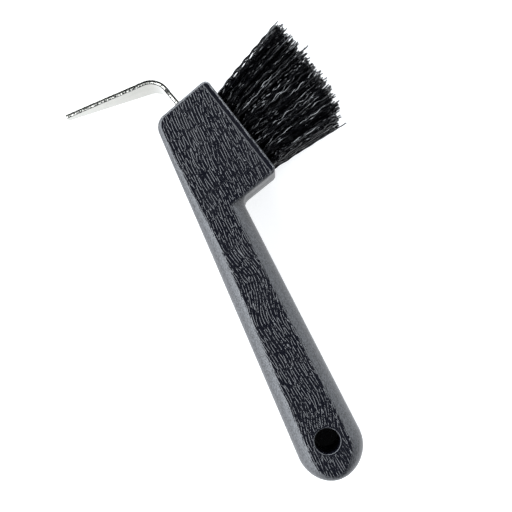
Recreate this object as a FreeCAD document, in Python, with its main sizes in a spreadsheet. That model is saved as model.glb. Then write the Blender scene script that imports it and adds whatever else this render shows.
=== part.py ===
import FreeCAD, Part
import math
import os

import Sketcher

# Hoof pick with a stable brush: a moulded handle, a bent steel pick and 24 bristle tufts.
#
# Frame: the origin is on the flat back face, under the axis of the hang hole. +Y runs along the
# handle towards the head, +X towards the bristles and +Z out of the grained front face.

# Driving dimensions in millimetres and degrees: alias, value, what it is.
DIMENSIONS = [
    ("body_thickness", 20.0, "handle, from back face to front face"),
    ("end_radius", 13.3, "round end of the grip, in plan"),
    ("end_centre_y", -2.7, "centre of the round end"),
    ("neck_x", 10.0, "corner between grip and head"),
    ("neck_y", 99.7, "corner between grip and head"),
    ("neck_radius", 3.5, "rounding of that inside corner"),
    ("heel_x", 27.7, "head corner below the bristles"),
    ("heel_y", 104.0, "head corner below the bristles"),
    ("heel_radius", 2.6, "rounding of the heel corner"),
    ("nose_x", 17.6, "head corner above the bristles"),
    ("nose_y", 149.5, "head corner above the bristles"),
    ("nose_radius", 2.6, "rounding of the nose corner"),
    ("crown_x", -8.5, "head corner on the pick's side"),
    ("crown_y", 142.3, "head corner on the pick's side"),
    ("crown_radius", 6.0, "rounding of the crown corner"),
    ("grip_rounding", 6.5, "edge rounding round the grip"),
    ("head_rounding", 1.6, "edge rounding round the head"),
    ("face_rounding", 0.7, "edge rounding along the bristle face"),
    ("hang_hole_radius", 5.0, "hang hole"),
    ("hang_hole_depth", 17.0, "hang hole, blind"),
    ("hang_hole_chamfer", 0.5, "broken edge of the hang hole"),
    ("strip_thickness", 1.8, "steel strip"),
    ("blade_width", 15.4, "steel strip at the bend"),
    ("tip_width", 4.0, "steel strip at the tip"),
    ("shank_width", 11.0, "steel strip in the shank and tang"),
    ("shoulder_height", 1.6, "slope from the shank up to the full strip"),
    ("shank_length", 7.9, "from the head to the start of the bend"),
    ("tang_length", 22.0, "inside the head"),
    ("bend_radius", 7.9, "middle of the strip in the bend"),
    ("bend_angle", 69.5, "turn of the bend"),
    ("blade_length", 35.0, "from the bend to the tip"),
    ("pick_root_x", 3.4, "where the shank leaves the head"),
    ("pick_lean", 15.5, "shank's lean away from the bristles"),
    ("slot_clearance", 0.05, "round the tang"),
    ("collar_margin", 0.45, "moulded collar round the shank"),
    ("collar_height", 0.9, "moulded collar above the head's top edge"),
    ("first_tuft", 4.1, "from the heel corner to the first column of tufts"),
    ("column_pitch", 4.8, "between columns of tufts, along the bristle face"),
    ("row_pitch", 5.2, "between rows of tufts, across the head"),
    ("first_fan_angle", 9.0, "direction of the first column from +X"),
    ("last_fan_angle", 23.0, "direction of the last column from +X"),
    ("tuft_hole_radius", 1.95, "hole that holds a tuft"),
    ("tuft_hole_depth", 9.0, "hole that holds a tuft"),
    ("tuft_hole_overrun", 3.0, "how far the drill runs out past the bristle face"),
    ("tuft_root_depth", 7.4, "how far a tuft goes into its hole"),
    ("tuft_length", 36.5, "bristles outside the head"),
    ("tuft_root_radius", 1.7, "bundle at the bottom of its hole"),
    ("tuft_tip_radius", 2.5, "bundle at the tips"),
    ("anchor_thickness", 0.4, "flat metal anchor under a tuft"),
    ("anchor_height", 1.2, "anchor along the hole"),
    ("anchor_width", 3.7, "anchor across the hole"),
]

ROWS = 3
COLUMNS = 8
PLANE_XY, PLANE_XZ, PLANE_YZ = "XY_Plane", "XZ_Plane", "YZ_Plane"
UP = FreeCAD.Vector(0, 0, 1)
TOUCHING = 1e-4
CUT_MARGIN = 1

doc = FreeCAD.newDocument("HoofPick")
sheet = doc.addObject("Spreadsheet::Sheet", "Sizes")
for row, (alias, value, meaning) in enumerate(DIMENSIONS, start=1):
    sheet.set(f"A{row}", meaning)
    sheet.set(f"B{row}", str(value))
    sheet.setAlias(f"B{row}", alias)
doc.recompute()


def size(alias):
    """A driving dimension, as a plain number."""
    return float(sheet.get(alias))


def origin_feature(body, role):
    """The body's own plane or axis of that role."""
    return next(item for item in body.Origin.OriginFeatures if item.Role == role)


def new_sketch(body, name, plane):
    """A sketch on one of the body's own planes."""
    sketch = body.newObject("Sketcher::SketchObject", name)
    sketch.AttachmentSupport = [(origin_feature(body, plane), "")]
    sketch.MapMode = "FlatFace"
    return sketch


def bind(sketch, constraint, expression):
    """Add a constraint and bind its value to the sheet."""
    index = sketch.addConstraint(constraint)
    sketch.setExpression(f"Constraints[{index}]", expression)


def place_point(sketch, geometry, end, point, x_expression, y_expression):
    """Hold one end of a sketch element at a bound position."""
    bind(sketch, Sketcher.Constraint("DistanceX", geometry, end, point.x), x_expression)
    bind(sketch, Sketcher.Constraint("DistanceY", geometry, end, point.y), y_expression)


def draw_polygon(sketch, corners):
    """Closed polygon. Each corner is (x, y, x expression, y expression)."""
    points = [FreeCAD.Vector(x, y, 0) for x, y, _, _ in corners]
    lines = [sketch.addGeometry(Part.LineSegment(points[i], points[(i + 1) % len(points)]))
             for i in range(len(points))]
    for i, line in enumerate(lines):
        sketch.addConstraint(Sketcher.Constraint("Coincident", line, 2, lines[(i + 1) % len(lines)], 1))
        place_point(sketch, line, 1, points[i], corners[i][2], corners[i][3])


def corner_arc(before, corner, after, radius):
    """Start, middle and end of the arc that rounds a corner."""
    towards_before = (before - corner).normalize()
    towards_after = (after - corner).normalize()
    half_angle = towards_before.getAngle(towards_after) / 2
    start = corner + towards_before * (radius / math.tan(half_angle))
    end = corner + towards_after * (radius / math.tan(half_angle))
    bisector = (towards_before + towards_after).normalize()
    middle = corner + bisector * (radius / math.sin(half_angle) - radius)
    return start, middle, end


def tangent_point(outside, centre, radius, side):
    """Where the tangent from a point meets a circle. side is 1 or -1."""
    reach = outside - centre
    angle = math.atan2(reach.y, reach.x) - side * math.acos(radius / reach.Length)
    return centre + FreeCAD.Vector(math.cos(angle), math.sin(angle), 0) * radius


def nearest_end(sketch, geometry, point):
    """Which end of an element, 1 or 2, lies at the point."""
    distances = {end: sketch.getPoint(geometry, end).distanceToPoint(point) for end in (1, 2)}
    return min(distances, key=distances.get)


def draw_handle_outline(sketch):
    """Plan of the handle: four rounded corners of the head and the round end of the grip."""
    names = ["neck", "heel", "nose", "crown"]
    corners = [FreeCAD.Vector(size(f"{name}_x"), size(f"{name}_y"), 0) for name in names]
    centre = FreeCAD.Vector(0, size("end_centre_y"), 0)
    end_right = tangent_point(corners[0], centre, size("end_radius"), 1)
    end_left = tangent_point(corners[3], centre, size("end_radius"), -1)
    end_bottom = centre - FreeCAD.Vector(0, size("end_radius"), 0)
    around = [end_right] + corners + [end_left]
    arcs = [corner_arc(around[i], around[i + 1], around[i + 2], size(f"{names[i]}_radius"))
            for i in range(4)]
    arcs.append((end_left, end_bottom, end_right))
    starts = [end_right] + [arc[2] for arc in arcs[:4]]
    lines = [sketch.addGeometry(Part.LineSegment(start, arc[0])) for start, arc in zip(starts, arcs)]
    curves = [sketch.addGeometry(Part.Arc(*arc)) for arc in arcs]
    for i, curve in enumerate(curves):
        start, _, end = arcs[i]
        following = lines[(i + 1) % len(lines)]
        sketch.addConstraint(Sketcher.Constraint(
            "Tangent", lines[i], 2, curve, nearest_end(sketch, curve, start)))
        sketch.addConstraint(Sketcher.Constraint(
            "Tangent", curve, nearest_end(sketch, curve, end), following, 1))
    for i, name in enumerate(names):
        point = sketch.addGeometry(Part.Point(corners[i]), True)
        sketch.addConstraint(Sketcher.Constraint("PointOnObject", point, 1, lines[i]))
        sketch.addConstraint(Sketcher.Constraint("PointOnObject", point, 1, lines[i + 1]))
        place_point(sketch, point, 1, corners[i], f"Sizes.{name}_x", f"Sizes.{name}_y")
        bind(sketch, Sketcher.Constraint("Radius", curves[i], size(f"{name}_radius")),
             f"Sizes.{name}_radius")
    sketch.addConstraint(Sketcher.Constraint("PointOnObject", curves[4], 3, -2))
    bind(sketch, Sketcher.Constraint("DistanceY", curves[4], 3, centre.y), "Sizes.end_centre_y")
    bind(sketch, Sketcher.Constraint("Radius", curves[4], size("end_radius")), "Sizes.end_radius")


def pick_placement():
    """Where the shank leaves the head's top edge, leaning away from the bristles."""
    nose_x, nose_y = size("nose_x"), size("nose_y")
    slope = (nose_y - size("crown_y")) / (nose_x - size("crown_x"))
    root_y = nose_y + slope * (size("pick_root_x") - nose_x)
    root = FreeCAD.Vector(size("pick_root_x"), root_y, size("body_thickness") / 2)
    return FreeCAD.Placement(root, FreeCAD.Rotation(UP, size("pick_lean")))


def fan_angle(column):
    """Direction of a column of tufts, in degrees from +X."""
    spread = size("last_fan_angle") - size("first_fan_angle")
    return size("first_fan_angle") + spread * column / (COLUMNS - 1)


def tuft_placement(column, row, depth):
    """A point on a tuft's axis, that deep under the bristle face. Its local +Z is the tuft's way out."""
    heel = FreeCAD.Vector(size("heel_x"), size("heel_y"), 0)
    nose = FreeCAD.Vector(size("nose_x"), size("nose_y"), 0)
    along = (nose - heel).normalize() * (size("first_tuft") + column * size("column_pitch"))
    height = size("body_thickness") / 2 + (row - (ROWS - 1) / 2) * size("row_pitch")
    turn = FreeCAD.Rotation(UP, fan_angle(column))
    outward = turn.multVec(FreeCAD.Vector(1, 0, 0))
    base = heel + along + UP * height - outward * depth
    lay_over = FreeCAD.Rotation(FreeCAD.Vector(0, 1, 0), 90)
    return FreeCAD.Placement(base, turn * lay_over)


def add_primitive(body, kind, name, sizes, placement):
    """A PartDesign primitive; sizes maps its dimensions to expressions."""
    primitive = body.newObject(f"PartDesign::{kind}", name)
    for dimension, expression in sizes.items():
        primitive.setExpression(dimension, expression)
    primitive.Placement = placement
    return primitive


def around_shank(margin, low):
    """Placement of a box that surrounds the shank by a margin, from a height along the shank."""
    corner = FreeCAD.Vector(-size("strip_thickness") / 2 - margin, low,
                            -size("shank_width") / 2 - margin)
    return pick_placement() * FreeCAD.Placement(corner, FreeCAD.Rotation())


def cut_tuft_holes(body):
    """A column of blind holes for each column of tufts, drilled along the tufts."""
    for column in range(COLUMNS):
        hole = add_primitive(
            body, "SubtractiveCylinder", f"TuftHole{column + 1}",
            {"Radius": "Sizes.tuft_hole_radius", "Height": "Sizes.tuft_hole_depth + Sizes.tuft_hole_overrun"},
            tuft_placement(column, 0, size("tuft_hole_depth")))
        rows = body.newObject("PartDesign::LinearPattern", f"TuftHoleRows{column + 1}")
        rows.Originals = [hole]
        rows.Direction = (origin_feature(body, "Z_Axis"), [""])
        rows.setExpression("Length", f"Sizes.row_pitch * {ROWS - 1}")
        rows.Occurrences = ROWS
        body.Tip = rows
        doc.recompute()


def make_handle_body():
    """The moulded body before its long edges are rounded."""
    body = doc.addObject("PartDesign::Body", "HandleBody")
    outline = new_sketch(body, "HandleOutline", PLANE_XY)
    draw_handle_outline(outline)
    pad = body.newObject("PartDesign::Pad", "HandlePad")
    pad.Profile = outline
    pad.setExpression("Length", "Sizes.body_thickness")
    doc.recompute()

    mouth = new_sketch(body, "HangHoleCircle", PLANE_XY)
    mouth.setExpression("AttachmentOffset.Base.z", "Sizes.body_thickness")
    circle = mouth.addGeometry(Part.Circle(FreeCAD.Vector(), UP, size("hang_hole_radius")))
    mouth.addConstraint(Sketcher.Constraint("Coincident", circle, 3, -1, 1))
    bind(mouth, Sketcher.Constraint("Radius", circle, size("hang_hole_radius")),
         "Sizes.hang_hole_radius")
    hang_hole = body.newObject("PartDesign::Pocket", "HangHole")
    hang_hole.Profile = mouth
    hang_hole.setExpression("Length", "Sizes.hang_hole_depth")
    doc.recompute()
    rim = next(f"Edge{i}" for i, edge in enumerate(body.Shape.Edges, start=1)
               if is_hang_hole(edge) and lies_on_face(edge, size("body_thickness")))
    chamfer = body.newObject("PartDesign::Chamfer", "HangHoleRim")
    chamfer.Base = (hang_hole, [rim])
    chamfer.setExpression("Size", "Sizes.hang_hole_chamfer")
    doc.recompute()

    add_primitive(body, "AdditiveBox", "ShankCollar",
                  {"Length": "Sizes.strip_thickness + 2 * Sizes.collar_margin",
                   "Width": "Sizes.head_rounding + Sizes.collar_height",
                   "Height": "Sizes.shank_width + 2 * Sizes.collar_margin"},
                  around_shank(size("collar_margin"), -size("head_rounding")))
    add_primitive(body, "SubtractiveBox", "TangSlot",
                  {"Length": "Sizes.strip_thickness + 2 * Sizes.slot_clearance",
                   "Width": "Sizes.tang_length + Sizes.slot_clearance + 2 * Sizes.collar_height",
                   "Height": "Sizes.shank_width + 2 * Sizes.slot_clearance"},
                  around_shank(size("slot_clearance"), -size("tang_length") - size("slot_clearance")))
    doc.recompute()
    cut_tuft_holes(body)
    return body


def is_hang_hole(edge):
    """True for the circles of the hang hole, which are centred on the Z axis."""
    return isinstance(edge.Curve, Part.Circle) and math.hypot(*edge.Curve.Center[:2]) < TOUCHING


def lies_on_face(edge, height):
    """True for an edge that lies flat at that height."""
    return edge.BoundBox.ZLength < TOUCHING and abs(edge.BoundBox.ZMin - height) < TOUCHING


def edge_rounding(point):
    """Edge rounding at a corner of the outline: full on the grip, small on the head."""
    if point.y < size("neck_y"):
        return size("grip_rounding")
    slope = (size("nose_x") - size("heel_x")) / (size("nose_y") - size("heel_y"))
    if abs(point.x - size("heel_x") - slope * (point.y - size("heel_y"))) < TOUCHING:
        return size("face_rounding")
    return size("head_rounding")


def round_long_edges(body):
    """Round the front and back edges of the outline, more on the grip than on the head."""
    rounded = doc.addObject("Part::Fillet", "HandleRounded")
    rounded.Base = body
    edges = []
    for i, edge in enumerate(body.Shape.Edges, start=1):
        on_a_face = lies_on_face(edge, 0) or lies_on_face(edge, size("body_thickness"))
        if on_a_face and not is_hang_hole(edge):
            start, end = edge.valueAt(edge.FirstParameter), edge.valueAt(edge.LastParameter)
            edges.append((i, edge_rounding(start), edge_rounding(end)))
    rounded.Edges = edges
    doc.recompute()
    return rounded


def draw_pick_path(sketch):
    """Middle line of the strip: tang and shank, bend, blade."""
    tang, shank = size("tang_length"), size("shank_length")
    radius, turn = size("bend_radius"), math.radians(size("bend_angle"))
    start, bend_start = FreeCAD.Vector(0, -tang, 0), FreeCAD.Vector(0, shank, 0)
    centre = bend_start - FreeCAD.Vector(radius, 0, 0)
    on_bend = [centre + FreeCAD.Vector(math.cos(part), math.sin(part), 0) * radius
               for part in (turn / 2, turn)]
    tip = on_bend[1] + FreeCAD.Vector(-math.sin(turn), math.cos(turn), 0) * size("blade_length")
    straight = sketch.addGeometry(Part.LineSegment(start, bend_start))
    bend = sketch.addGeometry(Part.Arc(bend_start, *on_bend))
    blade = sketch.addGeometry(Part.LineSegment(on_bend[1], tip))
    sketch.addConstraint(Sketcher.Constraint("PointOnObject", straight, 1, -2))
    sketch.addConstraint(Sketcher.Constraint("Vertical", straight))
    sketch.addConstraint(Sketcher.Constraint("Tangent", straight, 2, bend, 1))
    sketch.addConstraint(Sketcher.Constraint("Tangent", bend, 2, blade, 1))
    bind(sketch, Sketcher.Constraint("DistanceY", straight, 1, -tang), "-Sizes.tang_length")
    bind(sketch, Sketcher.Constraint("DistanceY", straight, 2, shank), "Sizes.shank_length")
    bind(sketch, Sketcher.Constraint("Radius", bend, radius), "Sizes.bend_radius")
    bind(sketch, Sketcher.Constraint("Angle", blade, math.pi / 2 + turn),
         "(90 + Sizes.bend_angle) * 1 deg")
    bind(sketch, Sketcher.Constraint("Distance", blade, size("blade_length")), "Sizes.blade_length")


def make_pick():
    """The steel strip, swept along its path and then trimmed to the width of each stretch."""
    body = doc.addObject("PartDesign::Body", "SteelPick")
    path = new_sketch(body, "PickPath", PLANE_XY)
    draw_pick_path(path)

    section = new_sketch(body, "StripSection", PLANE_XZ)
    section.setExpression("AttachmentOffset.Base.z", "Sizes.tang_length")
    half_thickness, half_width = size("strip_thickness") / 2, size("blade_width") / 2
    draw_polygon(section, [
        (x * half_thickness, y * half_width,
         f"{x} * Sizes.strip_thickness / 2", f"{y} * Sizes.blade_width / 2")
        for x, y in ((-1, -1), (1, -1), (1, 1), (-1, 1))])
    strip = body.newObject("PartDesign::AdditivePipe", "Strip")
    strip.Profile = section
    strip.Spine = (path, ["Edge1", "Edge2", "Edge3"])
    doc.recompute()

    trim_strip(body, "BladeTaper", PLANE_XZ, blade_taper_corners)
    trim_strip(body, "ShankSides", PLANE_YZ, shank_side_corners)
    return body


def blade_taper_corners(side):
    """Wedge that narrows the blade from the end of the bend to the tip, seen along the shank."""
    turn, blade, radius = math.radians(size("bend_angle")), size("blade_length"), size("bend_radius")
    half_width, half_tip = size("blade_width") / 2, size("tip_width") / 2
    start = -radius * (1 - math.cos(turn))
    tip = start - blade * math.sin(turn)
    start_expression = "-Sizes.bend_radius * (1 - cos(Sizes.bend_angle * 1 deg))"
    tip_expression = f"{start_expression} - Sizes.blade_length * sin(Sizes.bend_angle * 1 deg)"
    return [
        (start, side * half_width, start_expression, f"{side} * Sizes.blade_width / 2"),
        (tip, side * half_tip, tip_expression, f"{side} * Sizes.tip_width / 2"),
        (tip - CUT_MARGIN, side * half_tip, f"{tip_expression} - {CUT_MARGIN}",
         f"{side} * Sizes.tip_width / 2"),
        (tip - CUT_MARGIN, side * (half_width + CUT_MARGIN), f"{tip_expression} - {CUT_MARGIN}",
         f"{side} * (Sizes.blade_width / 2 + {CUT_MARGIN})"),
        (start, side * (half_width + CUT_MARGIN), start_expression,
         f"{side} * (Sizes.blade_width / 2 + {CUT_MARGIN})"),
    ]


def shank_side_corners(side):
    """Strip that narrows the tang and the shank up to a sloping shoulder, seen from the side."""
    half_width, half_shank = size("blade_width") / 2, size("shank_width") / 2
    below, bend_start = -size("tang_length") - CUT_MARGIN, size("shank_length")
    shoulder = bend_start - size("shoulder_height")
    return [
        (below, side * half_shank, f"-Sizes.tang_length - {CUT_MARGIN}", f"{side} * Sizes.shank_width / 2"),
        (shoulder, side * half_shank, "Sizes.shank_length - Sizes.shoulder_height",
         f"{side} * Sizes.shank_width / 2"),
        (bend_start, side * half_width, "Sizes.shank_length", f"{side} * Sizes.blade_width / 2"),
        (bend_start, side * (half_width + CUT_MARGIN), "Sizes.shank_length",
         f"{side} * (Sizes.blade_width / 2 + {CUT_MARGIN})"),
        (below, side * (half_width + CUT_MARGIN), f"-Sizes.tang_length - {CUT_MARGIN}",
         f"{side} * (Sizes.blade_width / 2 + {CUT_MARGIN})"),
    ]


def trim_strip(body, name, plane, corners):
    """Cut the same profile from both edges of the strip, right through it."""
    profile = new_sketch(body, f"{name}Profile", plane)
    for side in (1, -1):
        draw_polygon(profile, corners(side))
    pocket = body.newObject("PartDesign::Pocket", name)
    pocket.Profile = profile
    pocket.Type = "ThroughAll"
    pocket.Midplane = True
    volume_before = body.Shape.Volume
    doc.recompute()
    if not body.Shape.Volume < volume_before:
        raise RuntimeError(f"{name} cuts nothing")


def make_tuft(column, row):
    """One bundle of bristles, from the bottom of its hole to the tips."""
    tuft = doc.addObject("Part::Cone", f"Tuft{row + 1}{column + 1}")
    tuft.Label = f"bristle_tuft_r{row + 1}_c{column + 1}"
    tuft.setExpression("Radius1", "Sizes.tuft_root_radius")
    tuft.setExpression("Radius2", "Sizes.tuft_tip_radius")
    tuft.setExpression("Height", "Sizes.tuft_root_depth + Sizes.tuft_length")
    tuft.Placement = tuft_placement(column, row, size("tuft_root_depth"))
    return tuft


def make_anchor(column, row):
    """The flat anchor under a tuft, on edge across the hole."""
    anchor = doc.addObject("Part::Box", f"Anchor{row + 1}{column + 1}")
    anchor.setExpression("Length", "Sizes.anchor_thickness")
    anchor.setExpression("Width", "Sizes.anchor_width")
    anchor.setExpression("Height", "Sizes.anchor_height")
    corner = FreeCAD.Vector(-size("anchor_thickness") / 2, -size("anchor_width") / 2, 0)
    depth = size("tuft_root_depth") + size("anchor_height")
    anchor.Placement = tuft_placement(column, row, depth) * FreeCAD.Placement(
        corner, FreeCAD.Rotation())
    return anchor


places = [(column, row) for row in range(ROWS) for column in range(COLUMNS)]
handle = round_long_edges(make_handle_body())
handle.Label = "handle"
steel_pick = make_pick()
steel_pick.Label = "steel_pick"
steel_pick.Placement = pick_placement()
tufts = [make_tuft(column, row) for column, row in places]
anchors = doc.addObject("Part::Compound", "Anchors")
anchors.Links = [make_anchor(column, row) for column, row in places]
anchors.Label = "anchor_staples"
doc.recompute()

for item in doc.Objects:
    if {"Invalid", "Error"} & set(item.State):
        raise RuntimeError(f"{item.Name} failed: {item.State}")

os.makedirs("parts", exist_ok=True)
for node in [handle, steel_pick, anchors] + tufts:
    if node.Shape.isNull() or not node.Shape.isValid():
        raise RuntimeError(f"{node.Label} has no valid shape")
    node.Shape.exportStep(f"parts/{node.Label}.step")
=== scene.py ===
import math
import random

import bmesh
import bpy
import numpy as np
from mathutils import Matrix, Vector, geometry, noise


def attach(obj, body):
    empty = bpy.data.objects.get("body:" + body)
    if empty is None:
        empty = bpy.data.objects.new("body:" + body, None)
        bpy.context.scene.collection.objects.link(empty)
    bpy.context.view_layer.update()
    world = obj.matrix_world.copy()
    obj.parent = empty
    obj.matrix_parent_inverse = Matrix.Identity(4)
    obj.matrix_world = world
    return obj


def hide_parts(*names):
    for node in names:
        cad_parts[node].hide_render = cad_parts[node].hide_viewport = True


# Looks of the hoof pick. Lengths in this file are in millimetres unless a comment says otherwise,
# and become metres when a mesh is made. The frame is the CAD frame: +Y along the handle towards the
# head, +X towards the bristles, +Z out of the front face, and the object lies on z = 0.
MM = 0.001

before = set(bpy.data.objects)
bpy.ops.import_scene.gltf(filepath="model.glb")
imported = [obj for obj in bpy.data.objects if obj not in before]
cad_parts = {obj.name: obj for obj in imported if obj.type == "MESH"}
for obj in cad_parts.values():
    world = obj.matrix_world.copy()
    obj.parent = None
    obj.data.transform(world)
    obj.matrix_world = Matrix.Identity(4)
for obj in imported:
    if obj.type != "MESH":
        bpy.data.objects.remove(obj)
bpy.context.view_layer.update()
random.seed(41)

# ---- sizes shared with the CAD model ----
THICKNESS = 20.0
END_CENTRE, END_RADIUS = (0.0, -2.7), 13.3
CORNERS = {  # corner of the plan before rounding, and its rounding radius
    "neck": ((10.0, 99.7), 3.5),
    "heel": ((27.7, 104.0), 2.6),
    "nose": ((17.6, 149.5), 2.6),
    "crown": ((-8.5, 142.3), 6.0),
}
HANG_HOLE_RADIUS, HANG_HOLE_DEPTH = 5.0, 17.0
STRIP_THICKNESS, SHANK_WIDTH, BLADE_WIDTH, TIP_WIDTH = 1.8, 11.0, 15.4, 4.0
SHANK_LENGTH, SHOULDER_HEIGHT, TANG_LENGTH = 7.9, 1.6, 22.0
BEND_RADIUS, BEND_ANGLE, BLADE_LENGTH = 7.9, 69.5, 35.0
PICK_ROOT_X, PICK_LEAN = 3.4, 15.5
SLOT_CLEARANCE, COLLAR_MARGIN, COLLAR_HEIGHT = 0.05, 0.45, 0.9
ROWS, COLUMNS = 3, 8
FIRST_TUFT, COLUMN_PITCH, ROW_PITCH = 4.1, 4.8, 5.2
FIRST_FAN, LAST_FAN = 9.0, 23.0
TUFT_HOLE_RADIUS, TUFT_HOLE_DEPTH, TUFT_ROOT_DEPTH = 1.95, 9.0, 7.4


def smoothstep(low, high, value):
    """0 at low, 1 at high, smooth between. low may be above high."""
    t = np.clip((value - low) / (high - low), 0.0, 1.0)
    return t * t * (3 - 2 * t)


def unit(vector):
    return vector / np.hypot(*vector)


def bearing(vector):
    return math.atan2(vector[1], vector[0])


def spokes(count):
    """Unit vectors all round a circle."""
    angles = np.arange(count) * math.tau / count
    return np.column_stack([np.cos(angles), np.sin(angles)])


# ---- mesh building ----
FILL_INSIDE, FILL_TOLERANCE = 1, 1e-7  # delaunay_2d_cdt's output type and tolerance


def new_object(name, data):
    made = bpy.data.objects.new(name, data)
    bpy.context.scene.collection.objects.link(made)
    return made


def new_mesh(name, points, faces):
    """Mesh from points in millimetres."""
    mesh = bpy.data.meshes.new(name)
    mesh.from_pydata((np.array(points) * MM).tolist(), [], faces)
    return mesh


def set_attribute(mesh, name, values):
    """A number for each vertex, for the materials to read."""
    attribute = mesh.attributes.new(name, "FLOAT", "POINT")
    attribute.data.foreach_set("value", np.array(values, np.float32))


class Shell:
    """Vertices in millimetres and faces, collected before they become one mesh."""

    def __init__(self):
        self.points, self.faces, self.panel = [], [], []

    def add(self, points, panel=0.0):
        first = len(self.points)
        self.points.extend(tuple(float(c) for c in p) for p in points)
        weights = np.broadcast_to(np.asarray(panel, float), (len(points),))
        self.panel.extend(float(w) for w in weights)
        return list(range(first, len(self.points)))

    def bridge(self, a, b, closed=True):
        """Quads between two rows of the same length."""
        count = len(a) if closed else len(a) - 1
        for i in range(count):
            j = (i + 1) % len(a)
            self.faces.append((a[i], a[j], b[j], b[i]))

    def join(self, rings):
        """Bridge each ring to the next."""
        for a, b in zip(rings, rings[1:]):
            self.bridge(a, b)

    def cap(self, loop):
        """Close a loop with a fan round its middle."""
        middle = np.mean([self.points[i] for i in loop], axis=0)
        centre = self.add([middle])[0]
        for i, v in enumerate(loop):
            self.faces.append((v, loop[(i + 1) % len(loop)], centre))

    def fill(self, flat, ids, loops, keep, squeeze=(1.0, 1.0)):
        """Triangles between closed loops of flat points, keeping those whose middle keep() accepts.

        squeeze scales the flat points while they are joined up, so triangles may be long one way.
        """
        edges = [(loop[i], loop[(i + 1) % len(loop)]) for loop in loops for i in range(len(loop))]
        squeezed = [Vector(p) for p in flat * np.array(squeeze)]
        out = geometry.delaunay_2d_cdt(squeezed, edges, [], FILL_INSIDE, FILL_TOLERANCE)
        source = [origins[0] for origins in out[3]]
        triangles = np.array([[source[v] for v in face] for face in out[2]])
        middles = np.asarray(flat)[triangles].mean(axis=1)
        for triangle in triangles[keep(middles)]:
            self.faces.append(tuple(ids[v] for v in triangle))

    def to_object(self, name, sharp_angle):
        mesh = new_mesh(name, self.points, self.faces)
        set_attribute(mesh, "panel", self.panel)
        tidy = bmesh.new()
        tidy.from_mesh(mesh)
        bmesh.ops.recalc_face_normals(tidy, faces=tidy.faces)
        tidy.to_mesh(mesh)
        tidy.free()
        mesh.shade_smooth()
        mesh.set_sharp_from_angle(angle=math.radians(sharp_angle))
        return new_object(name, mesh)


# ---- plan of the handle ----
STRAIGHT_SPACING, ARC_SPACING = 0.5, 0.3
SIDES = ["grip_right", "neck", "head_bottom", "heel", "bristle_face", "nose", "head_top", "crown",
         "left", "end"]


def tangent_point(outside, side):
    """Where the tangent from a point meets the grip's round end. side is 1 or -1."""
    centre = np.array(END_CENTRE)
    reach = np.array(outside) - centre
    angle = bearing(reach) - side * math.acos(END_RADIUS / np.hypot(*reach))
    return centre + END_RADIUS * np.array([math.cos(angle), math.sin(angle)])


def draw_outline():
    """Anticlockwise samples of the plan: points, outward normals, side index and place along it."""
    names = list(CORNERS)
    corners = [np.array(CORNERS[n][0]) for n in names]
    around = [tangent_point(corners[0], 1)] + corners + [tangent_point(corners[3], -1)]
    samples = []

    def sample_line(start, end, side):
        length = np.hypot(*(end - start))
        direction = (end - start) / length
        normal = np.array([direction[1], -direction[0]])
        count = math.ceil(length / STRAIGHT_SPACING)
        for i in range(count):
            samples.append((start + (end - start) * i / count, normal, side, i / count))

    def sample_arc(centre, radius, start_angle, sweep, side):
        count = math.ceil(abs(sweep) * radius / ARC_SPACING)
        outward = 1 if sweep > 0 else -1
        for i in range(count):
            angle = start_angle + sweep * i / count
            spoke = np.array([math.cos(angle), math.sin(angle)])
            samples.append((centre + radius * spoke, outward * spoke, side, i / count))

    start = around[0]
    for i, name in enumerate(names):
        before, corner, after = around[i], around[i + 1], around[i + 2]
        radius = CORNERS[name][1]
        u, v = unit(before - corner), unit(after - corner)
        half = math.acos(np.clip(u @ v, -1, 1)) / 2
        centre = corner + unit(u + v) * radius / math.sin(half)
        arc_start, arc_end = (corner + w * radius / math.tan(half) for w in (u, v))
        first = bearing(arc_start - centre)
        sweep = (bearing(arc_end - centre) - first + math.pi) % math.tau - math.pi
        sample_line(start, arc_start, 2 * i)
        sample_arc(centre, radius, first, sweep, 2 * i + 1)
        start = arc_end
    end_left, end_right = around[5], around[0]
    sample_line(start, end_left, SIDES.index("left"))
    centre = np.array(END_CENTRE)
    first = bearing(end_left - centre)
    sweep = (bearing(end_right - centre) - first) % math.tau
    sample_arc(centre, END_RADIUS, first, sweep, SIDES.index("end"))
    return tuple(np.array(column) for column in zip(*samples))


OUTLINE, NORMALS, SIDE, PLACE = draw_outline()

# How far the rounded front and back edges reach in from the straight sides of the outline.
GRIP_REACH, BOTTOM_REACH, FACE_REACH, TOP_REACH, LEFT_REACH = 5.1, 0.9, 0.5, 1.3, 2.1
LEFT_FADE = (135.0, 76.0)  # where the left edge's reach grows from the head's to the grip's
# Round the end the reach is less, by this much where the outline faces this way.
END_NARROWEST, END_NARROWING = np.array([-0.3, -0.954]), 3.0
EDGE_TILT = math.radians(22)  # the surface breaks down this much at the panel's edge, then curves
LEAST_APPROACH = 0.05  # bounds the reach where the way in runs almost along the line


def reach_to_line(samples, line_sample, width):
    """From outline samples straight in to the line at a width inside another sample's side."""
    across = -NORMALS[line_sample]
    gap = (OUTLINE[samples] - OUTLINE[line_sample]) @ across
    return (width - gap) / np.maximum(-NORMALS[samples] @ across, LEAST_APPROACH)


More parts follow.
